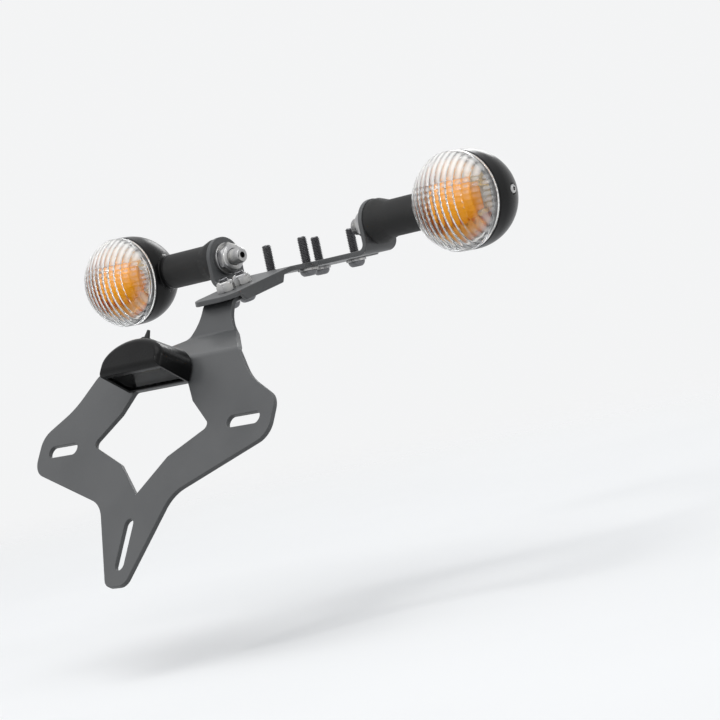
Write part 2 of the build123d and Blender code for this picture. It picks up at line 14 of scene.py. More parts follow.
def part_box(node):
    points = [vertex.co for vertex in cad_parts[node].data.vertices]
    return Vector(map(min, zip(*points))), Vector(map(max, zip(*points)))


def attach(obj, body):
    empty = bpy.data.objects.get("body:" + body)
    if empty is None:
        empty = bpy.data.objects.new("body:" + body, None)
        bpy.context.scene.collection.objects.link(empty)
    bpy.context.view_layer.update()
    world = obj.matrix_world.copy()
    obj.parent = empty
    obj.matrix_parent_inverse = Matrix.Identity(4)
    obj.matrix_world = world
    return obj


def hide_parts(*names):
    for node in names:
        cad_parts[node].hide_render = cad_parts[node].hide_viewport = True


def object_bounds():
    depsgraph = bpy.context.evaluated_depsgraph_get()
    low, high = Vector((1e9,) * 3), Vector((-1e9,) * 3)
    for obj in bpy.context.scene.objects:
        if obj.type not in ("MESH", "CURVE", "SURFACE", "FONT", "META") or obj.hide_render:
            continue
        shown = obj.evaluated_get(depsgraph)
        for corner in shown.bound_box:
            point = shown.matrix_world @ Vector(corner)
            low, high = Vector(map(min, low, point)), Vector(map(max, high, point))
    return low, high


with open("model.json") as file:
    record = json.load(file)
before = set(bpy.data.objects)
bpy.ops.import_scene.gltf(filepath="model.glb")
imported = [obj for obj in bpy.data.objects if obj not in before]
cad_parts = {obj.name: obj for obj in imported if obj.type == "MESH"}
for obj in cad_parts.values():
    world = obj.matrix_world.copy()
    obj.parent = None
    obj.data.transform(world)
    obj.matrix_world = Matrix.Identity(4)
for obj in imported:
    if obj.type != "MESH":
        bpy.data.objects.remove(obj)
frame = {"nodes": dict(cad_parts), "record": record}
cad_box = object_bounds()
nodes = frame["nodes"]
MM = 0.001
low, high = ([round(v, 4) for v in corner] for corner in cad_box)
print(len(nodes), "solids, from", low, "to", high)

# %% [markdown]
# A finish is a small network of shader nodes. Adding each node by hand is slow to read, so one class
# wraps a socket and lets plain arithmetic build the network: `1 - mask` adds a Math node by itself. Any
# other node comes from the `node` method. Colours go through a Mix node, because Math nodes would turn
# them grey.


# %% Shader maths
def fill(node, inputs):
    """Sets a node's sockets: a Level is linked, and a plain value is written."""
    for name, value in inputs.items():
        if isinstance(value, Level):
            value.tree.links.new(value.socket, node.inputs[name])
        else:
            node.inputs[name].default_value = value


class Level:
    """What one shader socket gives. Arithmetic on it adds Math nodes."""

    def __init__(self, tree, socket):
        self.tree = tree
        self.socket = socket

    def node(self, kind, settings, inputs, output=0):
        """Adds a node of any type: its settings first, then the values or links of its sockets."""
        made = self.tree.nodes.new(kind)
        for name, value in settings.items():
            setattr(made, name, value)
        fill(made, inputs)
        return Level(self.tree, made.outputs[output])

    def maths(self, operation, *values):
        """A Math node on these values."""
        return self.node("ShaderNodeMath", {"operation": operation}, dict(enumerate(values)))

    def __add__(self, other):
        return self.maths("ADD", self, other)

    def __sub__(self, other):
        return self.maths("SUBTRACT", self, other)

    def __rsub__(self, other):
        return self.maths("SUBTRACT", other, self)

    def __mul__(self, other):
        return self.maths("MULTIPLY", self, other)

    __radd__ = __add__
    __rmul__ = __mul__

    def ramp(self, start, end):
        """0 before start, 1 after end, and a smooth rise between them."""
        return self.node(
            "ShaderNodeMapRange",
            {"interpolation_type": "SMOOTHSTEP"},
            {"Value": self, "From Min": start, "From Max": end},
        )

    def blend(self, first, second):
        """A colour between two, by this level."""
        return self.node("ShaderNodeMix", {"data_type": "RGBA"}, {0: self, 6: first, 7: second}, 2)

    def part(self, axis):
        """X, Y or Z of a vector."""
        return self.node("ShaderNodeSeparateXYZ", {}, {0: self}, axis)

    def grain(self, scale, detail=2.0):
        """Noise around 0.5, read at this place, with about `scale` spots to the metre."""
        return self.node("ShaderNodeTexNoise", {}, {"Vector": self, "Scale": scale, "Detail": detail})

    def bump(self, depth, strength=0.5):
        """A surface normal from this height, where 1 stands `depth` metres proud."""
        return self.node("ShaderNodeBump", {}, {"Height": self, "Distance": depth, "Strength": strength})


print("Shader maths ready")

# %% [markdown]
# A new node material holds one Principled shader, which can stand for paint, plastic, rubber, metal and
# clear acrylic alike. Each finish below is that shader with its own numbers and patterns. The patterns
# read Object coordinates, which are the same on a new piece and on the solid it replaces, so that
# nothing has to be unwrapped and no pattern jumps from one to the other.


# %% Finish helpers
def new_finish(name):
    """A new node material, and the place on the piece that its patterns read."""
    material = bpy.data.materials.new(name)
    material.use_nodes = True
    tree = material.node_tree
    return material, Level(tree, tree.nodes.new("ShaderNodeTexCoord").outputs["Object"])


def set_shader(material, **inputs):
    """Sets the Principled shader's sockets. An underscore in a name stands for a space."""
    shader = material.node_tree.nodes["Principled BSDF"]
    fill(shader, {name.replace("_", " "): value for name, value in inputs.items()})


def grey(value, tint=(1.0, 1.0, 1.0)):
    """A grey of this brightness, with a faint tint."""
    return tuple(value * share for share in tint) + (1.0,)


print("Finish helpers ready")

# %% [markdown]
# Both brackets are sheet steel with a satin powder coat. The powder melts in an oven and sets with a
# fine orange-peel skin, so light breaks up softly on it. Two sizes of noise give the skin, and a slow
# noise changes colour and shine a little, as handling and road dust do. A bump is enough, since the
# skin is thinner than paper.

# %% Powder coat
powder_coat, place = new_finish("powder_coat")
patches = place.grain(22.0, 3.0)
skin = place.grain(620.0) * 0.65 + place.grain(2600.0, 1.0) * 0.35
speck = place.grain(1500.0, 1.0).ramp(0.66, 0.74)
coat_colour = patches.ramp(0.3, 0.7).blend(
    grey(0.078, (0.97, 1.0, 1.03)),
    grey(0.096, (0.98, 1.0, 1.02)),
)
set_shader(
    powder_coat,
    Base_Color=(speck * 0.25).blend(coat_colour, grey(0.13)),
    Roughness=patches * 0.14 + skin * 0.08 + 0.31,
    Specular_IOR_Level=0.5,
    Normal=skin.bump(0.06 * MM, 0.55),
)
print(powder_coat.name, "made")

# %% [markdown]
# The indicator cups and the light's hood are moulded black plastic. Moulds are spark-eroded, which
# leaves a fine even grain, and the plastic under it is still a little glossy. The grain is one fine
# noise as a bump, and a slower noise lets the gloss wander the way a wiped surface does.

# %% Black moulded plastic
black_plastic, place = new_finish("black_moulded_plastic")
mould_grain = place.grain(3200.0)
wiped = place.grain(45.0, 3.0)
set_shader(
    black_plastic,
    Base_Color=wiped.ramp(0.35, 0.7).blend(
        grey(0.003, (1.0, 1.02, 1.06)),
        grey(0.006, (1.0, 1.01, 1.04)),
    ),
    Roughness=wiped * 0.14 + mould_grain * 0.05 + 0.17,
    Specular_IOR_Level=0.15,
    Normal=mould_grain.bump(0.02 * MM),
)
print(black_plastic.name, "made")

# %% [markdown]
# Stalks, seals, the light's gasket and its cable gland are rubber. Rubber scatters light, so it is
# rough and almost flat black, with a faint grey bloom that comes to the surface in patches. A noise
# with a high threshold gives the patches, and a fine noise the pores.

# %% Rubber
rubber, place = new_finish("matt_rubber")
bloom = place.grain(60.0, 4.0).ramp(0.45, 0.75)
pores = place.grain(1900.0, 3.0)
set_shader(
    rubber,
    Base_Color=(bloom * 0.8).blend(grey(0.014), grey(0.030, (1.0, 0.99, 0.97))),
    Roughness=bloom * 0.12 + 0.62,
    Specular_IOR_Level=0.35,
    Normal=pores.bump(0.04 * MM),
)
print(rubber.name, "made")

# %% [markdown]
# Screws, washers, nuts and studs are zinc-plated steel, and the larger bolts are blackened. Both are
# metal, so their colour is the colour of their reflection. Stretched noise gives the faint turning
# marks of the lathe, and a slow noise the uneven tint that plating always has. Black steel is rubbed
# bright in places, which a noise with a high threshold picks out.

# %% Plated and blackened steel
zinc_steel, place = new_finish("zinc_plated_steel")
tint = place.grain(180.0, 3.0)
stretched = place.node("ShaderNodeMapping", {}, {"Vector": place, "Scale": (900.0, 900.0, 9000.0)})
marks = stretched.grain(1.0)
set_shader(
    zinc_steel,
    Base_Color=tint.ramp(0.3, 0.7).blend(
        grey(0.40, (1.0, 1.0, 1.02)),
        grey(0.54, (1.0, 0.99, 0.96)),
    ),
    Metallic=1.0,
    Roughness=tint * 0.2 + marks * 0.1 + 0.2,
    Normal=marks.bump(0.01 * MM, 0.4),
)
black_steel, place = new_finish("blackened_steel")
tint = place.grain(220.0, 3.0)
rubbed = place.grain(90.0, 4.0).ramp(0.58, 0.8)
set_shader(
    black_steel,
    Base_Color=(rubbed * 0.6).blend(grey(0.16, (1.0, 1.0, 1.04)), grey(0.38)),
    Metallic=1.0,
    Roughness=tint * 0.2 + 0.3,
    Normal=place.grain(2500.0).bump(0.01 * MM),
)
print(zinc_steel.name, "and", black_steel.name, "made")

# %% [markdown]
# Behind each lens sits a bowl with a bright metal coating, slightly wavy because it is sprayed on a
# moulding. Daylight from above goes through the amber bulb and falls on the bowl's lower half. The
# renderer doesn't follow that light well, so the bowl is tinted there instead, by the height and the
# distance from the lamp's axis. Both bowls share the finish, so the place across is read without its
# sign.

# %% Bright bowl
LAMP_OUT = 141.5 * MM
AXIS_Z = 14.5 * MM
TINT_HEIGHTS = (-8.0 * MM, 2.0 * MM)
TINT_RADII = (20.5 * MM, 23.2 * MM)
TINT_SHARE = 0.95
AMBER_TINT = (0.82, 0.36, 0.015, 1.0)


def about_axis(place):
    """Height above a lamp's axis and distance from it, at a place on either lamp."""
    out = place.maths("ABSOLUTE", place.part("X")) - LAMP_OUT
    up = place.part("Z") - AXIS_Z
    return up, place.maths("SQRT", out * out + up * up)


bright_bowl, place = new_finish("bright_bowl")
waves = place.grain(240.0)
up, from_axis = about_axis(place)
amber_light = (1 - up.ramp(*TINT_HEIGHTS)) * (1 - from_axis.ramp(*TINT_RADII))
coating = waves.blend(grey(0.80), grey(0.92, (1.0, 1.0, 0.98)))
set_shader(
    bright_bowl,
    Base_Color=(amber_light * TINT_SHARE).blend(coating, AMBER_TINT),
    Metallic=1.0,
    Roughness=waves * 0.08 + 0.1,
    Normal=waves.bump(0.04 * MM),
)
print(bright_bowl.name, "made")

# %% [markdown]
# The bulb has amber glass and sits in a brass holder. It is one solid in the frame, so its finish
# changes along its length: amber glass in front, a nickel cap behind. A real bulb gathers daylight and
# looks lit from inside. A clear bulb inside a clear lens would be slow and noisy to render, so this one
# is opaque and has a faint glow of its own. The holder's brass is dull, with patches of tarnish from a
# noise.

# %% Amber bulb and brass holder
CAP_EDGE = (-14.8 * MM, -14.2 * MM)
GLOW = (1.0, 0.39, 0.004, 1.0)
amber_bulb, place = new_finish("amber_bulb")
cap = place.part("Y").ramp(*CAP_EDGE)
streaks = place.grain(320.0)
amber = streaks.blend((0.72, 0.26, 0.002, 1.0), (0.80, 0.32, 0.004, 1.0))
set_shader(
    amber_bulb,
    Base_Color=cap.blend(amber, grey(0.60, (1.0, 0.97, 0.90))),
    Metallic=cap,
    Roughness=streaks * 0.1 + cap * 0.15 + 0.1,
    Specular_IOR_Level=0.15,
    Emission_Color=cap.blend(GLOW, grey(0.0)),
    Emission_Strength=0.08,
)
brass, place = new_finish("dull_brass")
tarnish = place.grain(260.0, 4.0)
set_shader(
    brass,
    Base_Color=tarnish.ramp(0.35, 0.7).blend((0.45, 0.31, 0.11, 1.0), (0.68, 0.50, 0.22, 1.0)),
    Metallic=1.0,
    Roughness=tarnish * 0.25 + 0.25,
    Normal=place.grain(1800.0).bump(0.01 * MM),
)
print(amber_bulb.name, "and", brass.name, "made")

# %% [markdown]
# The indicator lenses are clear acrylic. Light must bend in them for the ribs to show, so they transmit
# instead of being made see-through by alpha, and a low tint on their reflection keeps glare from hiding
# what is
# behind. Acrylic is never perfectly clean: a slow noise roughens it in places, and a milky shader for
# fine scratches is mixed over the clear one. Its share grows towards the top and the rim, where it is
# also a painted sheen for the light that they catch, and is largest on the ribs, where the plastic is
# thickest. The lens's mesh will say where those are, in an attribute.

# %% Clear acrylic
SCRATCH_AND_SHEEN_HEIGHTS = (-6.0 * MM, 20.0 * MM)
RIM_RADII = (19.5 * MM, 26.5 * MM)
RIM_SHARE = 0.6
MILKY_SHARE = 0.8


def mix_shaders(tree, factor, first, second):
    """A Mix Shader node between two shader nodes, by a factor."""
    mix = tree.nodes.new("ShaderNodeMixShader")
    fill(mix, {"Fac": factor})
    tree.links.new(first.outputs[0], mix.inputs[1])
    tree.links.new(second.outputs[0], mix.inputs[2])
    return mix


clear_acrylic, place = new_finish("clear_acrylic")
haze = place.grain(90.0, 3.0)
set_shader(
    clear_acrylic,
    Base_Color=haze.blend(grey(0.97, (1.0, 1.0, 0.99)), grey(0.99)),
    Roughness=haze.ramp(0.45, 0.8) * 0.06 + 0.03,
    IOR=1.49,
    Specular_Tint=grey(0.18),
    Transmission_Weight=1.0,
)
crest = place.node("ShaderNodeAttribute", {"attribute_name": "rib_crest"}, {}, "Fac")
up, from_axis = about_axis(place)
# Painted sheen: the milky share rises towards the top and the rim, partly for scratches and partly for
# the light caught there.
top_scratches_and_sheen = up.ramp(*SCRATCH_AND_SHEEN_HEIGHTS) * (haze * 0.3 + 0.85)
ring = from_axis.ramp(*RIM_RADII) * RIM_SHARE
milky_scratches_and_sheen = crest * crest.maths("MAXIMUM", top_scratches_and_sheen, ring) * MILKY_SHARE
tree = clear_acrylic.node_tree
milky = tree.nodes.new("ShaderNodeBsdfPrincipled")
fill(milky, {"Base Color": grey(0.93, (1.0, 0.99, 0.98)), "Roughness": 0.3})
veiled = mix_shaders(tree, milky_scratches_and_sheen, tree.nodes["Principled BSDF"], milky)
tree.links.new(veiled.outputs[0], tree.nodes["Material Output"].inputs["Surface"])
print(clear_acrylic.name, "made")

# %% [markdown]
# The plate light's lens is a clear strip under the hood. Little light comes back out of the hood, so
# from outside the strip reads almost black. A dark base colour gives that, and a low index of
# refraction keeps the board behind it in its place.

# %% Light lens acrylic
light_acrylic, place = new_finish("light_acrylic")
haze = place.grain(140.0, 3.0)
set_shader(
    light_acrylic,
    Base_Color=haze.blend(grey(0.12), grey(0.16, (0.99, 1.0, 1.0))),
    Roughness=haze.ramp(0.4, 0.8) * 0.1 + 0.04,
    IOR=1.1,
    Specular_IOR_Level=0.1,
    Transmission_Weight=1.0,
)
print(light_acrylic.name, "made")

# %% [markdown]
# Inside the hood is a small circuit board with three light chips. Its green lacquer shows the copper
# tracks below as slightly paler bands, which a brick pattern draws well enough at this size. The chips
# stand below the board and have the yellow of their phosphor. The number plate's tilt turns the board,
# so the place is first read along it.

# %% Circuit board
PLATE_TILT = math.radians(33.0)
CHIP_HEIGHTS = (-0.3 * MM, -0.1 * MM)
PHOSPHOR = (0.80, 0.66, 0.22, 1.0)


def middle_of(node):
    """The middle of a solid's box."""
    low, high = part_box(node)
    return (Vector(low) + Vector(high)) / 2


circuit_board, place = new_finish("circuit_board")
on_board = place.node(
    "ShaderNodeMapping",
    {"vector_type": "TEXTURE"},
    {"Vector": place, "Location": middle_of("plate_light_board"), "Rotation": (-PLATE_TILT, 0, 0)},
)
tracks = on_board.node(
    "ShaderNodeTexBrick",
    {"offset": 0.35},
    {
        "Vector": on_board,
        "Scale": 220.0,
        "Mortar Size": 0.03,
        "Color1": grey(0.0),
        "Color2": grey(1.0),
        "Mortar": grey(0.5),
    },
)
chips = 1 - on_board.part("Z").ramp(*CHIP_HEIGHTS)
lacquer = tracks.blend((0.012, 0.085, 0.035, 1.0), (0.02, 0.13, 0.05, 1.0))
set_shader(
    circuit_board,
    Base_Color=chips.blend(lacquer, PHOSPHOR),
    Roughness=place.grain(900.0) * 0.2 + 0.3,
)
print(circuit_board.name, "made")

# %% [markdown]
# Now each solid gets its finish. A solid keeps its mesh and only its material slot changes. The record
# names a slot for every solid, so one table from slot to finish dresses them all and no solid can be
# forgotten.

# %% Dress the solids
finish_of_slot = {
    "bracket_paint": powder_coat,
    "steel": zinc_steel,
    "dark_steel": black_steel,
    "black_plastic": black_plastic,
    "clear_plastic": clear_acrylic,
    "light_lens": light_acrylic,
    "rubber": rubber,
    "reflector": bright_bowl,
    "amber_bulb": amber_bulb,
    "brass": brass,
    "board": circuit_board,
}
slot_of_node = {entry["node"]: entry["material_slot"] for entry in frame["record"]["subparts"]}
for name, solid in nodes.items():
    solid.material_slots[0].material = finish_of_slot[slot_of_node[name]]
print(len(nodes), "solids dressed in", len(finish_of_slot), "finishes")

# %% [markdown]
# Modelling by operators needs a clean start each time: nothing else selected, one active object, and
# edit mode only while it is used. These helpers do that. A modifier is applied as soon as it is set, so
# that the next step works on its result.


# %% Selecting and editing
def deselect():
    """Leaves edit mode and selects nothing."""
    if bpy.context.object and bpy.context.object.mode == "EDIT":
        bpy.ops.object.mode_set(mode="OBJECT")
    bpy.ops.object.select_all(action="DESELECT")


def take(piece):
    """Makes a piece the only one selected."""
    deselect()
    piece.select_set(True)
    bpy.context.view_layer.objects.active = piece


def edit(piece, mode="VERT"):
    """Opens a piece in edit mode with all of it selected."""
    take(piece)
    bpy.ops.object.mode_set(mode="EDIT")
    bpy.ops.mesh.select_mode(type=mode)
    bpy.ops.mesh.select_all(action="SELECT")


def apply_modifier(piece, kind, **settings):
    """Adds a modifier, sets it and applies it."""
    take(piece)
    modifier = piece.modifiers.new(kind.lower(), kind)
    for name, value in settings.items():
        setattr(modifier, name, value)
    bpy.ops.object.modifier_apply(modifier=modifier.name)


print("Editing helpers ready")

# %% [markdown]
# A finished piece keeps its place in its mesh, so that the patterns of its finish lie as they do on the
# solid, and it rides on the part's one body. It takes the slot and the finish of the solid that it
# replaces, so the table above serves for both. Faces that meet at a small angle are shaded as one
# smooth surface.


# %% Closing a piece
def settle(piece):
    """Puts a piece's place, turn and scale into its mesh."""
    take(piece)
    bpy.ops.object.transform_apply(location=True, rotation=True, scale=True)


def close_piece(piece, name, node, smooth=35.0):
    """Names a finished piece, dresses it and puts it in place of a solid."""
    slot = slot_of_node[node]
    settle(piece)
    if smooth:
        bpy.ops.object.shade_smooth_by_angle(angle=math.radians(smooth))
    piece.name = name
    piece.data.materials.clear()
    piece.data.materials.append(finish_of_slot[slot])
    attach(piece, "root")
    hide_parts(node)
    deselect()
    print(name, "has", len(piece.data.polygons), "faces")


print("Closing helpers ready")

# %% [markdown]
# A laser-cut sheet has crisp edges, but the powder coat draws round them and they catch a thin line of
# light. The solids have dead sharp edges. A copy of each bracket is welded into whole faces, its sharp
# edges get a narrow bevel, and weighted normals keep the broad faces flat, so that only the rim is
# round.

# %% Brackets with rounded paint edges
WELD = 0.002 * MM
FLAT_ANGLE = math.radians(0.4)
SHARP_ANGLE = math.radians(40.0)
PAINT_EDGE = 0.45 * MM


def round_edges(node, name, width):
    """Puts a copy with rounded edges in place of a solid."""
    piece = bpy.data.objects.new(name, nodes[node].data.copy())
    bpy.context.collection.objects.link(piece)
    edit(piece)
    bpy.ops.mesh.remove_doubles(threshold=WELD)
    bpy.ops.mesh.dissolve_limited(angle_limit=FLAT_ANGLE)
    bpy.ops.object.mode_set(mode="OBJECT")
    apply_modifier(
        piece,
        "BEVEL",
        width=width,
        segments=3,
        limit_method="ANGLE",
        angle_limit=SHARP_ANGLE,
        use_clamp_overlap=False,
        miter_outer="MITER_ARC",
    )
    take(piece)
    bpy.ops.object.shade_smooth()
    apply_modifier(piece, "WEIGHTED_NORMAL", mode="FACE_AREA", weight=80, keep_sharp=False)
    close_piece(piece, name, node, smooth=None)


round_edges("plate_bracket", "plate_bracket_coated", PAINT_EDGE)
round_edges("undertail_bracket", "undertail_bracket_coated", PAINT_EDGE)

# %% [markdown]
# Mouldings and stampings are never dead sharp either. The same steps serve for the cups, the stalks,
# the hood and the small rubber pieces, each with a bevel that suits its material: wide on rubber,
# narrow on a stamped washer.

# %% Softened mouldings and washers
SIDES = {"left": -1, "right": 1}
round_edges("plate_light_housing", "light_hood", 0.5 * MM)
round_edges("plate_light_gasket", "light_gasket", 0.25 * MM)
round_edges("cable_gland", "light_gland", 0.2 * MM)
round_edges("plate_light_screws", "light_screws", 0.2 * MM)
round_edges("tail_washers", "tail_bolt_washers", 0.25 * MM)
round_edges("neck_washers", "neck_bolt_washers", 0.25 * MM)
for side in SIDES:
    round_edges(f"{side}_indicator_housing", f"{side}_cup", 0.6 * MM)
    round_edges(f"{side}_indicator_stalk", f"{side}_stalk", 0.7 * MM)
    round_edges(f"{side}_indicator_seal", f"{side}_seal", 0.3 * MM)
    round_edges(f"{side}_indicator_washer", f"{side}_stud_washer", 0.3 * MM)
    round_edges(f"{side}_indicator_screw", f"{side}_cup_screw", 0.15 * MM)

# %% [markdown]
# An indicator lens is a clear dome with a short skirt that meets the seal. The dome is the cap of a
# sphere, cut off with bisect. The skirt is extruded from the cut edge, which is selected by its height,
# and Solidify gives both a wall. The sphere starts with many points, because fine ribs come next.

# %% Indicator lens shell
LENS_RIM = 28.5 * MM
LENS_DOME = 20.0 * MM
LENS_SKIRT = 4.5 * MM
LENS_WALL = 2.2 * MM
CUT_MARGIN = 0.01 * MM
dome_radius = (LENS_RIM**2 + LENS_DOME**2) / (2 * LENS_DOME)
dome_base = dome_radius - LENS_DOME

deselect()
bpy.ops.mesh.primitive_uv_sphere_add(segments=320, ring_count=260, radius=dome_radius)
lens = bpy.context.object
edit(lens, "EDGE")
bpy.ops.mesh.bisect(plane_co=(0, 0, dome_base), plane_no=(0, 0, 1), clear_inner=True)
bpy.ops.object.mode_set(mode="OBJECT")
for edge in lens.data.edges:
    start, end = (lens.data.vertices[number].co for number in edge.vertices)
    edge.select = (start.z + end.z) / 2 < dome_base + CUT_MARGIN
bpy.ops.object.mode_set(mode="EDIT")
bpy.ops.mesh.extrude_edges_move(TRANSFORM_OT_translate={"value": (0, 0, -LENS_SKIRT)})
bpy.ops.object.mode_set(mode="OBJECT")
apply_modifier(lens, "SOLIDIFY", thickness=LENS_WALL, offset=-1.0, use_even_offset=True)
print("Lens shell has", len(lens.data.polygons), "faces")

# %% [markdown]
# Fine upright ribs inside the dome spread the bulb's light sideways, and a few lying ribs cross its
# middle. No operator draws ribs that follow a dome, so the inner points are moved along the lens's axis
# by a wave. The same wave fills the attribute that the acrylic reads, with a small share left in the
# valleys.

# %% Ribs inside the lens
RIB_PITCH = 3.6 * MM
RIB_DEPTH = 0.85 * MM
BAND_PITCH = 3.0 * MM
BAND_DEPTH = 0.45 * MM
BAND_MIDDLE = 2.0 * MM
BAND_REACH = 11.0 * MM
RIM_MARGIN = 0.5 * MM
VALLEY_SHARE = 0.15


def wave(along, pitch):
    """Round ribs side by side: 1 on a crest, 0 in the sharp valley between two."""
    return abs(math.cos(math.pi * along / pitch))


def within(distance, reach):
    """1 in the middle, with a late fall to 0 at the reach."""
    return max(0.0, 1 - (distance / reach) ** 6)


crests = lens.data.attributes.new("rib_crest", "FLOAT", "POINT")
ribbed = 0
for vertex in lens.data.vertices:
    x, y, z = vertex.co
    if z > dome_base - RIM_MARGIN and vertex.co.length < dome_radius - LENS_WALL / 2:
        upright = wave(x, RIB_PITCH)
        lying = wave(y, BAND_PITCH)
        rim = within(math.hypot(x, y), LENS_RIM - LENS_WALL)
        band = within(y - BAND_MIDDLE, BAND_REACH)
        vertex.co.z -= rim * (RIB_DEPTH * upright + BAND_DEPTH * lying * band)
        share = upright * (1 - band * (1 - lying))
        crests.data[vertex.index].value = VALLEY_SHARE + (1 - VALLEY_SHARE) * share
        ribbed += 1
print(ribbed, "points moved into ribs")

# %% [markdown]
# The lens was modelled about Z, so it is tipped to look backwards and moved up to the seal. Both sides
# are alike, so the left lens is a twin with its own mesh, shifted across. The lenses cast no shadow,
# because the renderer would let them darken the bowls behind them almost as a solid piece does.


# %% Indicator lenses in place
def twin_of(piece):
    """A copy of a piece, with its own mesh."""
    twin = piece.copy()
    twin.data = piece.data.copy()
    bpy.context.collection.objects.link(twin)
    return twin


seal_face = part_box("right_indicator_lens")[1][1]
lens.rotation_euler = (math.radians(90.0), 0, 0)
lens.location = (LAMP_OUT, seal_face - LENS_SKIRT + dome_base, AXIS_Z)
settle(lens)
left_lens = twin_of(lens)
left_lens.data.transform(Matrix.Translation((-2 * LAMP_OUT, 0, 0)))
for side, piece in (("right", lens), ("left", left_lens)):
    close_piece(piece, f"{side}_ribbed_lens", f"{side}_indicator_lens", smooth=30.0)
    piece.visible_shadow = False

# %% [markdown]
# Bolts, nuts and studs come from a lathe, so they are modelled as if turned: half a section is drawn as
# a chain of edges, and the Screw modifier spins it about Z. A weld then closes the seam and the poles.
# One short list of points gives the whole shape, which is easier to read than a stack of cylinders.


# %% Turned pieces
def draw_chain(points):
    """A chain of edges through (radius, height) points, drawn by pulling one vertex along."""
    deselect()
    bpy.ops.mesh.primitive_plane_add(size=MM)
    piece = bpy.context.object
    edit(piece)
    bpy.ops.mesh.merge(type="CENTER")
    here = Vector((0, 0, 0))
    for number, (radius, height) in enumerate(points):
        there = Vector((radius, 0, height))
        if number == 0:
            bpy.ops.transform.translate(value=there)
        else:
            bpy.ops.mesh.extrude_vertices_move(TRANSFORM_OT_translate={"value": there - here})
        here = there
    bpy.ops.object.mode_set(mode="OBJECT")
    return piece


def close_seams(piece):
    """Welds a turned surface and points its faces outward."""
    edit(piece)
    bpy.ops.mesh.remove_doubles(threshold=WELD)
    bpy.ops.mesh.normals_make_consistent(inside=False)
    bpy.ops.object.mode_set(mode="OBJECT")


def turn(points, steps=48):
    """A solid turned about Z from a chain of (radius, height) points."""
    piece = draw_chain(points)
    apply_modifier(piece, "SCREW", angle=2 * math.pi, steps=steps, render_steps=steps)
    close_seams(piece)
    return piece


print("Turning helpers ready")

# %% [markdown]
# The solids have plain cylinders for threads. A real thread is a ridge wound round the shank, and the
# Screw modifier winds it: one ridge is drawn as a chain and turned while it climbs one pitch per turn.
# It is wound too long at both ends, so that two bisects can cut them flat, and the far end is then
# drawn in to a chamfer.

# %% Threads
THREAD_STEPS = 28
# Shares of the pitch
THREAD_DEPTH = 0.58
THREAD_CHAMFER = 0.835


def thread(crest, pitch, start, end):
    """A closed threaded rod about Z between two heights, with a chamfered far end."""
    root = crest - THREAD_DEPTH * pitch
    ridge = [
        (root, 0),
        (crest, 0.38 * pitch),
        (crest, 0.52 * pitch),
        (root, 0.9 * pitch),
        (root, pitch),
    ]
    rod = draw_chain([(radius, height + start - 1.5 * pitch) for radius, height in ridge])
    apply_modifier(
        rod,
        "SCREW",
        angle=2 * math.pi,
        screw_offset=pitch,
        iterations=math.ceil((end - start) / pitch) + 2,
        steps=THREAD_STEPS,
        render_steps=THREAD_STEPS,
    )
    close_seams(rod)
    for height, outward in ((start, -1), (end, 1)):
        edit(rod)
        bpy.ops.mesh.bisect(
            plane_co=(0, 0, height),
            plane_no=(0, 0, outward),
            clear_outer=True,
            use_fill=True,
        )
        bpy.ops.object.mode_set(mode="OBJECT")
    chamfer_start = end - THREAD_CHAMFER * pitch
    for vertex in rod.data.vertices:
        radius = math.hypot(vertex.co.x, vertex.co.y)
        limit = crest - max(0.0, vertex.co.z - chamfer_start)
        if radius > limit:
            vertex.co.x *= limit / radius
            vertex.co.y *= limit / radius
    close_seams(rod)
    return rod


print("Threads have", THREAD_STEPS, "steps to the turn")

# %% [markdown]
# A socket or a bore is cut with a Boolean: a tool of the right shape is made, taken away from the piece
# and removed. Pieces that only need to belong together, such as a head and its thread, are joined
# instead, which keeps every face as it is and takes no time.


# %% Cutting and joining
def combine(piece, tool, operation="DIFFERENCE"):
    """Cuts one solid with another, or joins them, and removes the tool."""
    apply_modifier(piece, "BOOLEAN", object=tool, operation=operation, solver="EXACT")
    bpy.data.objects.remove(tool)


def join(pieces):
    """Joins pieces into the first one."""
    deselect()
    for piece in pieces:
        piece.select_set(True)
    bpy.context.view_layer.objects.active = pieces[0]
    bpy.ops.object.join()
    return pieces[0]


print("Cutting helpers ready")

# %% [markdown]
# The brackets are held by bolts with low domed heads and a six-sided socket. The head and the plain end
# of the shank are turned from half a section, and a six-sided tool cuts the socket. The thread is
# joined on with a short lap inside the shank, since a Boolean on so many fine faces would be slow.

# %% Button-head bolts
BOLT = 6.0 * MM
BOLT_PITCH = 1.0 * MM
THREAD_CLEARANCE = 0.05 * MM
HEAD = 10.5 * MM
HEAD_HEIGHT = 3.3 * MM
HEAD_EDGE = 0.25 * MM
DOME_STEPS = 10
SOCKET_FLATS = 4.0 * MM
SOCKET_DEPTH = 2.0 * MM
SHANK_INSET = 0.3 * MM
SHANK_CHAMFER = 0.2 * MM
THREAD_LAP = 0.4 * MM


def hexagon(flats, depth, height, turned=0.0):
    """A six-sided prism about Z, with its middle at a height."""
    bpy.ops.mesh.primitive_cylinder_add(
        vertices=6,
        radius=flats / math.sqrt(3),
        depth=depth,
        location=(0, 0, height),
        rotation=(0, 0, math.radians(turned)),
    )
    return bpy.context.object


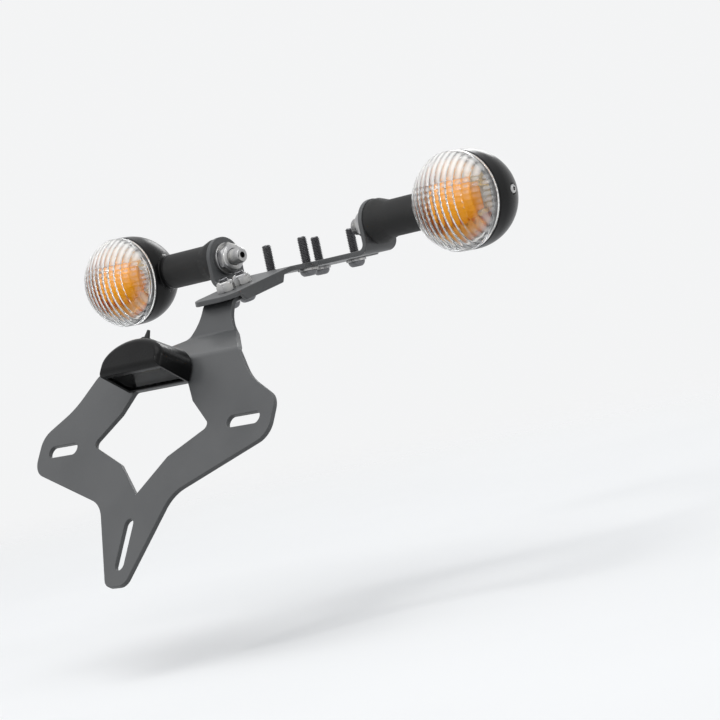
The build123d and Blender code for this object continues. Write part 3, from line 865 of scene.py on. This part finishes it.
def button_bolt(grip, reach):
    """A button-head bolt about Z: its head hangs below 0 and its thread ends at the reach."""
    arc_radius = ((HEAD / 2 - BOLT / 2) ** 2 + HEAD_HEIGHT**2) / (HEAD - BOLT)
    arc_middle = HEAD / 2 - arc_radius
    last = math.asin(HEAD_HEIGHT / arc_radius)
    dome = [last * (1 - step / DOME_STEPS) for step in range(DOME_STEPS)]
    inset = BOLT / 2 - SHANK_INSET
    points = [(0, -HEAD_HEIGHT), (inset, -HEAD_HEIGHT)]
    points += [(arc_middle + arc_radius * math.cos(a), -arc_radius * math.sin(a)) for a in dome]
    points += [(HEAD / 2, -HEAD_EDGE), (HEAD / 2 - HEAD_EDGE, 0)]
    points += [(BOLT / 2, 0), (BOLT / 2, grip - SHANK_CHAMFER), (inset, grip), (0, grip)]
    head = turn(points)
    combine(head, hexagon(SOCKET_FLATS, 2 * SOCKET_DEPTH, -HEAD_HEIGHT))
    return join([head, thread(BOLT / 2 - THREAD_CLEARANCE, BOLT_PITCH, grip - THREAD_LAP, reach)])


print("Bolts have heads of", round(HEAD / MM, 1), "mm")

# %% [markdown]
# Four bolts hold the undertail bracket from below, and two more join both brackets on the slope. What
# repeats is modelled once and copied, each copy with its own mesh. The places follow from the sizes
# that the solids have. Each tail bolt is turned by an angle of its own, because no real bolt stops just
# where its neighbour does.

# %% Tail bolts and neck bolts
SHEET = 3.0 * MM
WASHER = 1.6 * MM
TAIL_ACROSS = 30.0 * MM
TAIL_ALONG = 44.0 * MM
TAIL_REACH = 16.0 * MM
# Degrees
TURN_ACROSS = 17.0
TURN_ALONG = 31.0


def copy_to(piece, places):
    """Twins of a piece, put at (location, rotation) places and joined. The piece itself is removed."""
    made = []
    for location, turned in places:
        twin = twin_of(piece)
        twin.location = location
        twin.rotation_euler = turned
        settle(twin)
        made.append(twin)
    bpy.data.objects.remove(piece)
    return join(made)


tail_grip = WASHER + SHEET
tail_places = [
    (
        (TAIL_ACROSS / 2 * x, TAIL_ALONG / 2 * y, -tail_grip),
        (0, 0, math.radians(TURN_ACROSS * x + TURN_ALONG * y)),
    )
    for x in (-1, 1)
    for y in (-1, 1)
]
tail_bolts = copy_to(button_bolt(tail_grip, tail_grip + TAIL_REACH), tail_places)
close_piece(tail_bolts, "tail_bolts_threaded", "tail_bolts")

SLOPE = math.radians(10.0)
SLOPE_ALONG = Vector((0, math.cos(SLOPE), math.sin(SLOPE)))
SLOPE_NORMAL = Vector((0, -math.sin(SLOPE), math.cos(SLOPE)))
SPINE_BACK = 38.0 * MM
NECK_FROM_SPINE = 49.5 * MM
NECK_BOLTS = (9.5 * MM, 24.0 * MM)
NECK_REACH = 8.0 * MM
neck_grip = WASHER + 2 * SHEET
neck_top = Vector((0, -SPINE_BACK, -SHEET)) - SLOPE_ALONG * NECK_FROM_SPINE
neck_rows = [neck_top + SLOPE_ALONG * along for along in NECK_BOLTS]
neck_places = [(row - SLOPE_NORMAL * (SHEET + WASHER), (SLOPE, 0, 0)) for row in neck_rows]
neck_bolts = copy_to(button_bolt(neck_grip, neck_grip + NECK_REACH), neck_places)
close_piece(neck_bolts, "neck_bolts_threaded", "neck_bolts")

# %% [markdown]
# A nut starts as a six-sided bar, which takes a share of its height. Turning it on a lathe chamfers the
# corners, and intersecting the prism with a turned blank does the same here. A collar on top holds the
# locking ring, and the bore is cut last, with a tool that flares at both mouths.

# %% Lock nuts
PRISM_SHARE = 0.7
CORNER_DROP = 0.62
FACE_SHARE = 0.97
NUT_STEPS = 72
COLLAR_INSET = 0.1 * MM
BORE_MOUTH = 0.4 * MM


def chamfered_disc(radius, face, start, end, chamfer, steps=48):
    """A turned disc between two heights, chamfered from its own radius to that of its end faces."""
    section = [
        (0, start),
        (face, start),
        (radius, start + chamfer),
        (radius, end - chamfer),
        (face, end),
        (0, end),
    ]
    return turn(section, steps)


def lock_nut(flats, bore, height):
    """A lock nut on the plane Z = 0, with corners along X."""
    corner = flats / math.sqrt(3)
    prism = height * PRISM_SHARE
    nut = hexagon(flats, prism, prism / 2, turned=30.0)
    settle(nut)
    drop = (corner - flats / 2) * CORNER_DROP
    blank = chamfered_disc(corner, flats / 2 * FACE_SHARE, 0, prism, drop, NUT_STEPS)
    combine(nut, blank, "INTERSECT")
    ring = flats / 2 - COLLAR_INSET
    collar = [
        (0, prism / 2),
        (ring, prism / 2),
        (ring, height - 0.9 * MM),
        (ring - 0.25 * MM, height - 0.35 * MM),
        (ring - 0.8 * MM, height),
        (0, height),
    ]
    combine(nut, turn(collar, NUT_STEPS), "UNION")
    flare = BORE_MOUTH + MM
    combine(nut, chamfered_disc(bore / 2, bore / 2 + flare, -MM, height + MM, flare))
    return nut


neck_nut_places = [(row + SLOPE_NORMAL * SHEET, (SLOPE, 0, 0)) for row in neck_rows]
neck_nut = lock_nut(flats=10.0 * MM, bore=6.2 * MM, height=6.0 * MM)
neck_nuts = copy_to(neck_nut, neck_nut_places)
close_piece(neck_nuts, "neck_nuts_chamfered", "neck_nuts")

# %% [markdown]
# Each indicator stands on a hollow stud: a threaded rod with a flange that the rubber stalk grips, and
# a lock nut inside the bracket's ear. The rod is turned end for end, so that its chamfer points inward,
# then joined to the flange and drilled. Both are modelled about Z and laid down along X, one pair for
# each side.

# %% Hollow studs and their nuts
AXIS_Y = -10.0 * MM
NUT_FACE = 61.0 * MM
STUD = 10.0 * MM
STUD_PITCH = 1.25 * MM
STUD_BORE = 4.0 * MM
STUD_REACH = 48.0 * MM
STUD_FLANGE = 78.0 * MM
STUD_END = 82.0 * MM
FLANGE = 16.0 * MM
FLANGE_EDGE = 0.4 * MM
FLANGE_LAP = 1.0 * MM
DRILL = 100.0 * MM


def hollow_stud():
    """A hollow stud about Z, with its chamfered end at 0."""
    flange_start = STUD_FLANGE - STUD_REACH
    flange_end = STUD_END - STUD_REACH
    rod_length = flange_start + FLANGE_LAP
    rod = thread(STUD / 2, STUD_PITCH, 0, rod_length)
    for vertex in rod.data.vertices:
        vertex.co.z = rod_length - vertex.co.z
    close_seams(rod)
    flange_face = FLANGE / 2 - FLANGE_EDGE
    flange = chamfered_disc(FLANGE / 2, flange_face, flange_start, flange_end, FLANGE_EDGE)
    stud = join([rod, flange])
    bpy.ops.mesh.primitive_cylinder_add(vertices=32, radius=STUD_BORE / 2, depth=DRILL)
    combine(stud, bpy.context.object)
    return stud


for side, sign in SIDES.items():
    inward = (0, math.radians(-90.0 * sign), 0)
    outward = (0, math.radians(90.0 * sign), 0)
    nut = lock_nut(flats=17.0 * MM, bore=10.2 * MM, height=6.0 * MM)
    nut = copy_to(nut, [((NUT_FACE * sign, AXIS_Y, AXIS_Z), inward)])
    close_piece(nut, f"{side}_nut_chamfered", f"{side}_indicator_nut")
    stud = copy_to(hollow_stud(), [((STUD_REACH * sign, AXIS_Y, AXIS_Z), outward)])
    close_piece(stud, f"{side}_stud_threaded", f"{side}_indicator_stud")

# %% [markdown]
# The light's lens is a clear strip with fine ribs inside that spread the light of the chips sideways. A
# grid is laid flat, its points are moved into ribs, and the whole sheet is extruded and flattened to
# give it a plain face below. Then the strip is turned to the number plate's tilt and put in its recess.

# %% Ribbed light lens
STRIP_WIDTH = 45.8 * MM
STRIP_DEPTH = 17.8 * MM
STRIP_THICKNESS = 1.8 * MM
STRIP_PITCH = 2.29 * MM
STRIP_RIB = 0.5 * MM
deselect()
bpy.ops.mesh.primitive_grid_add(x_subdivisions=160, y_subdivisions=2, size=1)
strip = bpy.context.object
strip.scale = (STRIP_WIDTH, STRIP_DEPTH, 1)
settle(strip)
for vertex in strip.data.vertices:
    ridge = abs(math.sin(math.pi * (vertex.co.x + STRIP_WIDTH / 2) / STRIP_PITCH))
    vertex.co.z = STRIP_THICKNESS / 2 - STRIP_RIB * (1 - ridge)
edit(strip, "FACE")
bpy.ops.mesh.extrude_region_move(TRANSFORM_OT_translate={"value": (0, 0, -STRIP_THICKNESS)})
bpy.ops.transform.resize(value=(1, 1, 0), center_override=(0, 0, -STRIP_THICKNESS / 2))
bpy.ops.mesh.select_all(action="SELECT")
bpy.ops.mesh.normals_make_consistent(inside=False)
bpy.ops.object.mode_set(mode="OBJECT")
strip.location = middle_of("plate_light_lens")
strip.rotation_euler = (-PLATE_TILT, 0, 0)
close_piece(strip, "light_ribbed_lens", "plate_light_lens", smooth=30.0)
strip.visible_shadow = False

# %% [markdown]
# The part hangs over a plain floor, which keeps its shadow. The floor is a wide disc with a ring inset
# in it. It lies a little below the part, as the shadow then stays near and soft.

# %% Floor
FLOOR_LEVEL = -0.205
FLOOR_MIDDLE = Vector((0, -0.08, FLOOR_LEVEL))
FLOOR_RADIUS = 2.4
FLOOR_RING = 1.2
deselect()
bpy.ops.mesh.primitive_circle_add(
    vertices=96, radius=FLOOR_RADIUS, fill_type="NGON", location=FLOOR_MIDDLE
)
floor = bpy.context.object
edit(floor, "FACE")
bpy.ops.mesh.inset(thickness=FLOOR_RING)
settle(floor)
floor.name = "floor"
print("Floor at", FLOOR_LEVEL)

# %% [markdown]
# The floor is pale and plain, and fades out with the distance from its middle, so there is no horizon
# behind the part from any side. A pale studio floor would throw much light up under the part, more than
# comes from below outdoors. The Light Path node tells the two uses apart, so the floor is darker for
# light that goes to the part than it looks.

# %% Floor finish
FLOOR_FADE = (0.35, 1.6)


def looked_at(tree):
    """1 for what the camera, a reflection or a clear piece shows, 0 for light that goes to the part."""
    path = tree.nodes.new("ShaderNodeLightPath")
    shown = Level(tree, path.outputs["Is Camera Ray"])
    for ray in ("Is Glossy Ray", "Is Transmission Ray"):
        shown = shown.maths("MAXIMUM", shown, Level(tree, path.outputs[ray]))
    return shown


pale_floor, place = new_finish("pale_floor")
from_middle = place.node(
    "ShaderNodeVectorMath", {"operation": "DISTANCE"}, {0: place, 1: FLOOR_MIDDLE}, "Value"
)
pale = place.grain(6.0).blend(grey(0.86), grey(0.89))
set_shader(
    pale_floor,
    Base_Color=looked_at(place.tree).blend(grey(0.3), pale),
    Roughness=0.9,
    Specular_IOR_Level=0.1,
    Alpha=1 - from_middle.ramp(*FLOOR_FADE),
)
floor.data.materials.append(pale_floor)
print(pale_floor.name, "made")

# %% [markdown]
# The world gives the general level of light, and more of it from above than from below, so that the
# part keeps its form. The camera, reflections and clear pieces see a plain pale colour instead, which
# the Light Path node separates from the level that lights the part.

# %% Pale world
HORIZON = (-0.25, 0.2)
world = bpy.data.worlds.new("pale_studio")
bpy.context.scene.world = world
world.use_nodes = True
tree = world.node_tree
above = tree.nodes["Background"]
fill(above, {"Color": (0.95, 0.975, 1.0, 1.0), "Strength": 0.72})
below = tree.nodes.new("ShaderNodeBackground")
fill(below, {"Color": (1.0, 0.98, 0.95, 1.0), "Strength": 0.2})
seen = tree.nodes.new("ShaderNodeBackground")
fill(seen, {"Color": (0.90, 0.905, 0.91, 1.0), "Strength": 1.0})
way = Level(tree, tree.nodes.new("ShaderNodeTexCoord").outputs["Generated"])
around = mix_shaders(tree, way.part("Z").ramp(*HORIZON), below, above)
shown = mix_shaders(tree, looked_at(tree), around, seen)
tree.links.new(shown.outputs[0], tree.nodes["World Output"].inputs["Surface"])
print(world.name, "made")

# %% [markdown]
# Four soft lamps shape the part. A large one overhead gives broad soft light, a small key lamp from the
# rear left puts highlights on the round pieces, and weaker ones from the right and the front draw the
# edges on the other sides. All are discs aimed at the part's middle. The view transform is Standard, so
# that a colour renders about as it is written.

# %% Lamps
PART_MIDDLE = Vector((0, -0.08, -0.04))


def soft_lamp(name, place, width, power):
    """A round lamp that looks at the part's middle."""
    lamp = bpy.data.lights.new(name, "AREA")
    lamp.shape = "DISK"
    lamp.size = width
    lamp.energy = power
    holder = bpy.data.objects.new(name, lamp)
    holder.location = place
    holder.rotation_euler = (PART_MIDDLE - Vector(place)).to_track_quat("-Z", "Y").to_euler()
    bpy.context.collection.objects.link(holder)
    print(name, "has", power, "W")


soft_lamp("sky_lamp", (0.1, -0.5, 1.5), width=1.4, power=8.0)
soft_lamp("key_lamp", (-0.6, -1.6, 1.0), width=0.32, power=5.0)
soft_lamp("edge_lamp", (1.5, 0.3, 0.7), width=0.35, power=2.5)
soft_lamp("front_lamp", (-0.7, 1.5, 0.8), width=0.6, power=4.0)
bpy.context.scene.view_settings.view_transform = "Standard"

# %% [markdown]
# The camera stands to the right and behind, a little below the indicators, and is tipped to one side.
# Its three directions are written as the columns of its matrix, because a tipped view is hard to give
# as angles. The field of view follows from a focal length in pixels over a picture 720 pixels wide.

# %% Camera
EYE = Vector((0.9472, -1.027, -0.029))
RIGHT = Vector((0.7296, 0.6512, -0.2090)).normalized()
LOOK = Vector((-0.6696, 0.7422, -0.0251)).normalized()
UP = RIGHT.cross(LOOK)
FOCAL = 2290
HALF_PICTURE = 360
camera = bpy.data.objects.new("camera", bpy.data.cameras.new("camera"))
bpy.context.collection.objects.link(camera)
camera.matrix_world = Matrix(
    [
        [RIGHT.x, UP.x, -LOOK.x, EYE.x],
        [RIGHT.y, UP.y, -LOOK.y, EYE.y],
        [RIGHT.z, UP.z, -LOOK.z, EYE.z],
        [0, 0, 0, 1],
    ]
)
camera.data.angle = 2 * math.atan(HALF_PICTURE / FOCAL)
bpy.context.scene.camera = camera
print("Camera's field of view is", round(math.degrees(camera.data.angle), 1), "degrees")
